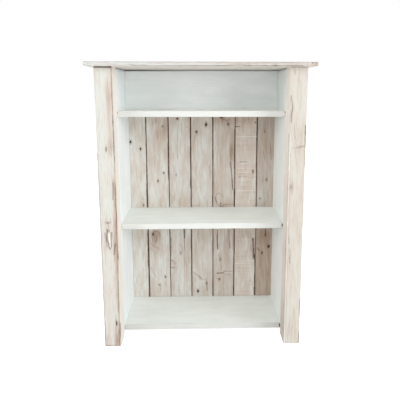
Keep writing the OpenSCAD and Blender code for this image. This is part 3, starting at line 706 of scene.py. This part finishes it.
def grain_noise(tree, vector, across, through, along, detail=2.0, roughness=0.5):
    """Noise whose waves are about this many millimetres across, through and along a board."""
    scale = (1 / (across * MM), 1 / (through * MM), 1 / (along * MM))
    scaled = add(tree, "ShaderNodeVectorMath", {"operation": "MULTIPLY"}, _0=vector, _1=scale).outputs[0]
    inputs = {"Vector": scaled, "Scale": 1.0, "Detail": detail, "Roughness": roughness}
    return add(tree, "ShaderNodeTexNoise", **inputs).outputs[0]


def read(tree, name, output="Fac"):
    """A point attribute of the mesh."""
    return add(tree, "ShaderNodeAttribute", {"attribute_name": name}).outputs[output]


def linear(colour, factor=1.0):
    """An sRGB colour, made darker or lighter by a factor, as shader nodes hold it."""
    channels = [c / 12.92 if c <= 0.04045 else ((c + 0.055) / 1.055) ** 2.4 for c in colour]
    return (*[min(1.0, c * factor) for c in channels], 1.0)


def new_material(name):
    """An empty node material with its Principled shader."""
    material = bpy.data.materials.new(name)
    material.use_nodes = True
    tree = material.node_tree
    return material, tree, tree.nodes["Principled BSDF"]


def finish_surface(tree, shader, colour, rough, height, bump, distance):
    """Links a colour, a roughness and a height to a shader."""
    tree.links.new(colour, shader.inputs["Base Color"])
    tree.links.new(rough, shader.inputs["Roughness"])
    bumped = add(tree, "ShaderNodeBump", Strength=bump, Distance=distance, Height=height)
    tree.links.new(bumped.outputs[0], shader.inputs["Normal"])


def timber_noises(tree):
    """The noises of the timber's grain, which wanders sideways as it runs along the board."""
    grain = read(tree, "grain", "Vector")
    moves = [(grain_noise(tree, grain, *size), reach) for size, reach in WANDERS]
    sideways = add(tree, "ShaderNodeCombineXYZ", X=weighted(tree, 0.0, *moves)).outputs[0]
    grain = add(tree, "ShaderNodeVectorMath", {"operation": "ADD"}, _0=grain, _1=sideways).outputs[0]
    return Waves(*[grain_noise(tree, grain, *size) for size in TIMBER_NOISES.values()])


def lime_coat(tree, tones, waves, stain):
    """The coat of lime wash, from pale to warm, with pink patches and with veins of wood."""
    terms = ((waves.tint, 0.9), (waves.cloud, 1.0), (waves.band, 0.6), (stain, 0.45))
    warmth = weighted(tree, tones.warmth - WARMTH_MEAN, *terms)
    coat = blend(tree, rise(tree, warmth, -0.36, 0.36), linear(tones.lime), linear(tones.warm))
    coat = blend(tree, rise(tree, waves.blush, 0.42, 0.7, to_high=tones.blush), coat, linear(BLUSH))
    coat = blend(tree, rise(tree, waves.fibre, 0.4, 0.72, to_high=0.3), coat, linear(tones.warm, 0.88))
    return blend(tree, rise(tree, waves.vein, 0.45, 0.72, to_high=0.3), coat, linear(tones.wood))


def show_wood(tree, tones, waves, stain, coat):
    """The coat with bare wood where it is thin, dark pores, and pale wood as painted light on the faces
    marked for it.
    """
    worn = weighted(tree, -0.3, (waves.fleck, 1.2))
    terms = ((waves.fibre, 0.7), (waves.band, 1.2), (stain, 0.8), (read(tree, "arris"), worn))
    show = weighted(tree, tones.bare - BARE_MEAN, *terms)
    wood = blend(tree, rise(tree, waves.fibre, 0.35, 0.65), linear(tones.wood), linear(tones.wood, 0.7))
    colour = blend(tree, rise(tree, show, 0.0, 0.9, to_high=0.85), coat, wood)
    colour = blend(tree, rise(tree, waves.pore, 0.6, 0.75, to_high=0.14), colour, linear(DARK_WOOD))
    # Painted light: pale wood on the faces marked for it
    thinner = rise(tree, waves.fibre, 0.35, 0.7, to_low=0.9, to_high=0.5)
    painted_light_share = maths(tree, "MULTIPLY", read(tree, "painted_light"), thinner)
    return blend(tree, painted_light_share, colour, linear(PAINTED_LIGHT_WOOD))


def add_knots(tree, tones, waves, colour):
    """Knots with a halo and a ragged core. Gives the new colour and the core."""
    knot, dark = read(tree, "knot"), read(tree, "knot_dark")
    halo = maths(tree, "MULTIPLY", rise(tree, knot, 2.4, 1.0), maths(tree, "MULTIPLY", dark, 0.45))
    colour = blend(tree, halo, colour, linear(tones.wood, 0.85))
    ragged = weighted(tree, maths(tree, "SUBTRACT", knot, 0.45), (waves.fleck, 0.9))
    core = maths(tree, "MULTIPLY", rise(tree, ragged, 1.2, 0.6), dark)
    return blend(tree, core, colour, linear(KNOT_DARK)), core


def add_lines(tree, waves, colour):
    """Dark cracks and pale scrapes, both broken up by flecks."""
    line = read(tree, "line")
    flecks = rise(tree, waves.fleck, 0.3, 0.6, to_low=0.65)
    crack = maths(tree, "MULTIPLY", rise(tree, line, 0.02, 0.75), flecks)
    colour = blend(tree, crack, colour, linear(DARK_WOOD))
    flecks = rise(tree, waves.fleck, 0.3, 0.6, to_low=0.5)
    scrape = maths(tree, "MULTIPLY", rise(tree, line, -0.05, -0.7), flecks)
    return blend(tree, scrape, colour, linear(SCRAPED))


def whitewashed_timber(name, tones, saw=0.0):
    """Old boards under a thin coat of lime wash. saw is how strongly a saw's marks cross the board."""
    material, tree, shader = new_material(name)
    waves, stain = timber_noises(tree), read(tree, "stain")
    colour = show_wood(tree, tones, waves, stain, lime_coat(tree, tones, waves, stain))
    colour, core = add_knots(tree, tones, waves, colour)
    colour = add_lines(tree, waves, colour)
    across = rise(tree, waves.saw, 0.5, 0.75, to_high=saw)
    cut = maths(tree, "MULTIPLY", across, rise(tree, waves.cloud, 0.3, 0.6))
    colour = blend(tree, cut, colour, linear(tones.wood, 0.9))
    # Dirt and painted shade in the seams, and the darkening low on a post's side, in brown
    colour = blend(tree, read(tree, "dirt_and_shade"), colour, linear(SEAM_BROWN))

    height = weighted(tree, 0.0, (waves.band, 0.5), (waves.fibre, 0.6), (cut, -0.6), (core, -0.8))
    rough = rise(tree, waves.fibre, 0.2, 0.8, to_low=0.62, to_high=0.86)
    finish_surface(tree, shader, colour, rough, height, bump=0.45, distance=0.5 * MM)
    return material


def white_paint(name):
    """Brushed satin paint: faint strokes along the board, a slow change of tone and rubbed edges."""
    # The left panel's tint holds painted light
    white, shade = (tuple(np.multiply(tone, PAINT_TINTS_AND_LIGHT[name])) for tone in (CASE_WHITE, CASE_SHADE))
    material, tree, shader = new_material(name)
    grain = read(tree, "grain", "Vector")
    stroke = grain_noise(tree, grain, 2.4, 2.4, 120, 3.0, 0.6)
    cloud = grain_noise(tree, grain, 30, 30, 90, 3.0)
    fleck = grain_noise(tree, grain, 1.2, 1.2, 5, 2.0)
    colour = blend(tree, rise(tree, cloud, 0.3, 0.7), linear(white), linear(shade))
    colour = blend(tree, rise(tree, stroke, 0.35, 0.75, to_high=0.45), colour, linear(shade, 0.95))
    # Greyed shelf fronts: dirt from handling, and painted shade on the bottom shelf's front
    colour = blend(tree, read(tree, "stain"), colour, linear(CASE_RUBBED))
    rubbed = maths(tree, "MULTIPLY", read(tree, "arris"), rise(tree, fleck, 0.45, 0.7, to_high=0.3))
    colour = blend(tree, rubbed, colour, linear(CASE_RUBBED))
    # Painted shade: dark spots at the shelves' front corners, and the dark joints under the top board
    gap_shade = maths(tree, "MULTIPLY", rise(tree, read(tree, "knot"), 1.3, 0.7), read(tree, "knot_dark"))
    painted_shade = maths(tree, "MAXIMUM", gap_shade, read(tree, "dirt_and_shade"))
    colour = blend(tree, painted_shade, colour, linear(DARK_WOOD, 0.6))
    rough = rise(tree, stroke, 0.2, 0.8, to_low=0.4, to_high=0.56)
    finish_surface(tree, shader, colour, rough, stroke, bump=0.22, distance=0.3 * MM)
    return material


def bare_softwood():
    """Planed softwood with growth rings, for the rail and the dowels."""
    material, tree, shader = new_material("bare_softwood")
    place = add(tree, "ShaderNodeTexCoord").outputs["Object"]
    rings = grain_noise(tree, place, 160, 4, 4, 3.0)
    fibre = grain_noise(tree, place, 50, 0.8, 0.8, 3.0)
    colour = blend(tree, rise(tree, rings, 0.35, 0.65), linear(SOFTWOOD_PALE), linear(SOFTWOOD_RING))
    colour = blend(tree, rise(tree, fibre, 0.5, 0.8, to_high=0.4), colour, linear(SOFTWOOD_FIBRE))
    rough = rise(tree, fibre, 0.2, 0.8, to_low=0.5, to_high=0.7)
    finish_surface(tree, shader, colour, rough, fibre, bump=0.3, distance=0.3 * MM)
    return material


def zinc_steel():
    """Zinc plated steel with a faint spangle and dull patches."""
    material, tree, shader = new_material("zinc_steel")
    place = add(tree, "ShaderNodeTexCoord").outputs["Object"]
    spangle = add(tree, "ShaderNodeTexVoronoi", Vector=place, Scale=900.0).outputs["Distance"]
    dull = grain_noise(tree, place, 3, 3, 3, 3.0)
    colour = blend(tree, rise(tree, spangle, 0.1, 0.8), linear(ZINC_PALE), linear(ZINC_DARK))
    colour = blend(tree, rise(tree, dull, 0.5, 0.7, to_high=0.7), colour, linear(ZINC_DULL))
    shader.inputs["Metallic"].default_value = 1.0
    rough = rise(tree, dull, 0.3, 0.7, to_low=0.45, to_high=0.7)
    finish_surface(tree, shader, colour, rough, spangle, bump=0.15, distance=0.1 * MM)
    return material


def paint(piece, material):
    """Gives a piece its material."""
    piece.data.materials.append(material)


def make_posts():
    """Four posts, whose inner sides are paled with painted light. The hidden rear ones have marks at
    random.
    """
    for number, side in enumerate(SIDES):
        material = whitewashed_timber(f"post_wash_{side}", POST_TONES[side])
        for place in ("front", "rear"):
            node, front = f"{place}_post_{side}", place == "front"
            low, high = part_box(node)
            hidden = hidden_marks(low, high, FRONT, 3, HIDDEN_POST_SEED + number)
            post = board(
                node, rectangle(low, high, Z), Z, TIMBER_WEAR, POST_SEED + 10 * number + front,
                faces=[(FRONT, POST_MARKS[side] if front else hidden)],
                # The right post's inner side darkens low down
                dirt_and_shade=low_side_darkening if side == "right" else nowhere,
                # Painted light pales the posts' inner sides
                painted_light=looking(X, -1) if side == "right" else looking(X, 1, 0.9),
            )
            paint(post, material)


def make_top():
    """The thin top board, with its grain along X and its underside paled with painted light."""
    low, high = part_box("top_board")
    hidden = hidden_marks(low, high, TOP_SURFACE, 8, HIDDEN_TOP_SEED)
    top = board(
        "top_board", rectangle(low, high, X), X, TOP_WEAR, TOP_SEED,
        # Painted light pales the underside
        faces=[(TOP_EDGE, TOP_EDGE_MARKS), (TOP_SURFACE, hidden)], painted_light=looking(Z, -1, 0.9),
    )
    paint(top, whitewashed_timber("top_wash", TOP_TONES))


def plank_section(number, low, high):
    """Plan of a plank: it lies over the lip of the plank before, and its own lip goes behind the next."""
    middle = (low.y + high.y) / 2
    right = high.x - LAP_WIDTH if number < PLANK_COUNT else high.x
    corners = [(low.x, low.y), (right, low.y)]
    if number < PLANK_COUNT:
        corners += [(right, middle + LAP_GAP), (high.x, middle + LAP_GAP)]
    corners.append((high.x, high.y))
    if number > 1:
        corners += [(low.x + LAP_WIDTH, high.y), (low.x + LAP_WIDTH, middle), (low.x, middle)]
    else:
        corners.append((low.x, high.y))
    return corners


def make_planks():
    """The upright planks of the back, each with its own tone."""
    for number, marks in PLANK_MARKS.items():
        node = f"back_plank_{number}"
        low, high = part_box(node)
        edge = (high.x - LAP_WIDTH - SEAM_INSET) / MM
        strokes = [stroke(edge, start, edge, *rest) for start, *rest in SEAM_STROKES.get(number, [])]
        # Dirt and painted shade darken the seams from just behind the planks' fronts
        plank = board(
            node, plank_section(number, low, high), Z, PLANK_WEAR, PLANK_SEED + 10 * number,
            faces=[(FRONT, strokes), (THROUGH, marks)], dirt_and_shade=seam_dirt_and_shade(low.y),
        )
        shade, warmth, bare = PLANK_LOOKS[number]
        lime, warm = (tuple(np.multiply(tone, shade)) for tone in (PLANK_TONES.lime, PLANK_TONES.warm))
        tones = PLANK_TONES._replace(lime=lime, warm=warm, warmth=warmth, bare=bare)
        saw = SAW_STRENGTH if number == SAWN_PLANK else 0.0
        paint(plank, whitewashed_timber(f"plank_wash_{number}", tones, saw))


def make_side_panels():
    """The side panels, with a groove for each shelf's tongue."""
    boxes = [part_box(name) for name in SHELVES]
    grooves = [(low.z, high.z - TONGUE_DROP) for low, high in boxes]
    tongue_x = boxes[0][1].x
    for side, sign in SIDES.items():
        node = f"side_panel_{side}"
        low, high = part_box(node)
        rings = [edge + step for groove in grooves for edge in groove for step in STEP]

        def cut_grooves(shape, sign=sign):
            z = shape[..., Z]
            inside = np.any([(z > bottom) & (z < top) for bottom, top in grooves], axis=0)
            groove_x = sign * np.maximum(sign * shape[..., X], tongue_x)
            shape[..., X] = np.where(inside, groove_x, shape[..., X])

        # Painted shade darkens the panel's top, in the joint under the top board
        panel = board(
            node, rectangle(low, high, Z), Z, PAINT_WEAR, PANEL_SEED + sign,
            extra=[z for z in rings if low.z < z < high.z],
            dirt_and_shade=joint_shade(high.z, share=0.6), reshape=cut_grooves,
        )
        paint(panel, white_paint(f"case_paint_{side}"))


def make_shelves():
    """The shelves, whose ends are tongues that lie below the level of their top faces."""
    material = white_paint("shelf_paint")
    inner_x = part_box("side_panel_right")[0].x
    back_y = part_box("upper_back_board")[0].y
    rings = [sign * inner_x + step for sign in SIDES.values() for step in STEP]
    rings += [sign * (inner_x - move * MM) for sign in SIDES.values() for move in range(1, 7)]
    for number, node in enumerate(SHELVES):
        low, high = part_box(node)
        corners = rectangle(low, high, X)
        if node == "upper_shelf":
            rebate_z = high.z - BACK_REBATE
            corners[2:3] = [(high.y, rebate_z), (back_y, rebate_z), (back_y, high.z)]

        def cut_tongues(shape, top=high.z - TONGUE_DROP):
            beyond = np.abs(shape[..., X]) > inner_x
            shape[..., Z] = np.where(beyond, np.minimum(shape[..., Z], top), shape[..., Z])

        shelf = board(
            node, corners, X, PAINT_WEAR, SHELF_SEED + number,
            faces=[(SHELF_EDGE, SHELF_MARKS_AND_SHADE[node])], extra=rings, reshape=cut_tongues,
        )
        paint(shelf, material)


def make_upper_back():
    """The white back board of the top compartment."""
    low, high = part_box("upper_back_board")
    # Painted shade along the board's top, under the top board, strongest at the left end
    dirt_and_shade = joint_shade(high.z, fade_to=0.4)
    back = board("upper_back_board", rectangle(low, high, X), X, FITTED_WEAR, BACK_SEED, dirt_and_shade=dirt_and_shade)
    paint(back, white_paint("case_paint"))


def finish_packed_nodes():
    """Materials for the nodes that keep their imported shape: the rail, dowels, screws and nails."""
    wood, steel = bare_softwood(), zinc_steel()
    for name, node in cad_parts.items():
        if not node.hide_render:
            node.data.materials.clear()
            node.data.materials.append(wood if name.endswith(("dowels", "rail")) else steel)


def make_floor():
    """A pale floor that looks white to the camera, but keeps the object's shadow."""
    half = FLOOR_HALF_SIZE
    mesh = bpy.data.meshes.new("floor")
    corners = [(-half, -half, 0), (half, -half, 0), (half, half, 0), (-half, half, 0)]
    mesh.from_pydata(corners, [], [range(4)])
    add_object("floor", mesh)

    material, tree, shader = new_material("floor_white")
    shader.inputs["Base Color"].default_value = (*[FLOOR_TONE] * 3, 1.0)
    shader.inputs["Roughness"].default_value = FLOOR_ROUGHNESS
    glow = maths(tree, "MULTIPLY", seen_directly(tree), FLOOR_GLOW)
    light = add(tree, "ShaderNodeEmission", Color=WHITE, Strength=glow).outputs[0]
    both = add(tree, "ShaderNodeAddShader", _0=shader.outputs[0], _1=light).outputs[0]
    tree.links.new(both, tree.nodes["Material Output"].inputs["Surface"])
    mesh.materials.append(material)


def seen_directly(tree):
    """1 for the camera's own rays and for those that metal or glass sends on."""
    path = add(tree, "ShaderNodeLightPath").outputs
    either = maths(tree, "MAXIMUM", path["Is Camera Ray"], path["Is Glossy Ray"])
    return maths(tree, "MAXIMUM", either, path["Is Transmission Ray"])


def make_world():
    """White behind the object, and a plain soft light from all round."""
    world = bpy.data.worlds.new("studio")
    bpy.context.scene.world = world
    world.use_nodes = True
    tree = world.node_tree
    soft = tree.nodes["Background"]
    soft.inputs["Color"].default_value = WHITE
    soft.inputs["Strength"].default_value = WORLD_STRENGTH
    white = add(tree, "ShaderNodeBackground", Color=WHITE, Strength=1.0).outputs[0]
    inputs = {"_0": seen_directly(tree), "_1": soft.outputs[0], "_2": white}
    mixed = add(tree, "ShaderNodeMixShader", **inputs).outputs[0]
    tree.links.new(mixed, tree.nodes["World Output"].inputs["Surface"])


def make_lamps():
    """Square soft boxes that face the bookcase's middle."""
    for name, (azimuth, elevation, power) in LAMPS.items():
        turn, lift = math.radians(azimuth), math.radians(elevation)
        level, height = LAMP_DISTANCE * math.cos(lift), LAMP_DISTANCE * math.sin(lift)
        light = bpy.data.lights.new(name, "AREA")
        light.size, light.energy = LAMP_SIZE, power
        lamp = add_object(name, light)
        lamp.location = (level * math.sin(turn), -level * math.cos(turn), LAMP_AIM_HEIGHT + height)
        lamp.rotation_euler = (math.pi / 2 - lift, 0, turn)


def make_camera():
    """The photo's camera, from a fit to the edges of the boards."""
    data = bpy.data.cameras.new("camera")
    data.sensor_width = SENSOR_WIDTH
    data.lens = FOCAL_PIXELS / PICTURE_PIXELS * SENSOR_WIDTH
    data.shift_x = (PICTURE_PIXELS / 2 - OPTICAL_CENTRE[0]) / PICTURE_PIXELS
    data.shift_y = (OPTICAL_CENTRE[1] - PICTURE_PIXELS / 2) / PICTURE_PIXELS
    camera = add_object("camera", data)
    camera.location = CAMERA_PLACE
    camera.rotation_euler = (math.radians(90 - CAMERA_PITCH_DOWN), 0, math.radians(CAMERA_TURN_LEFT))
    bpy.context.scene.camera = camera


make_camera()
make_posts()
make_top()
make_planks()
make_side_panels()
make_shelves()
make_upper_back()
finish_packed_nodes()
make_floor()
make_world()
make_lamps()
bpy.context.scene.view_settings.view_transform = "Standard"
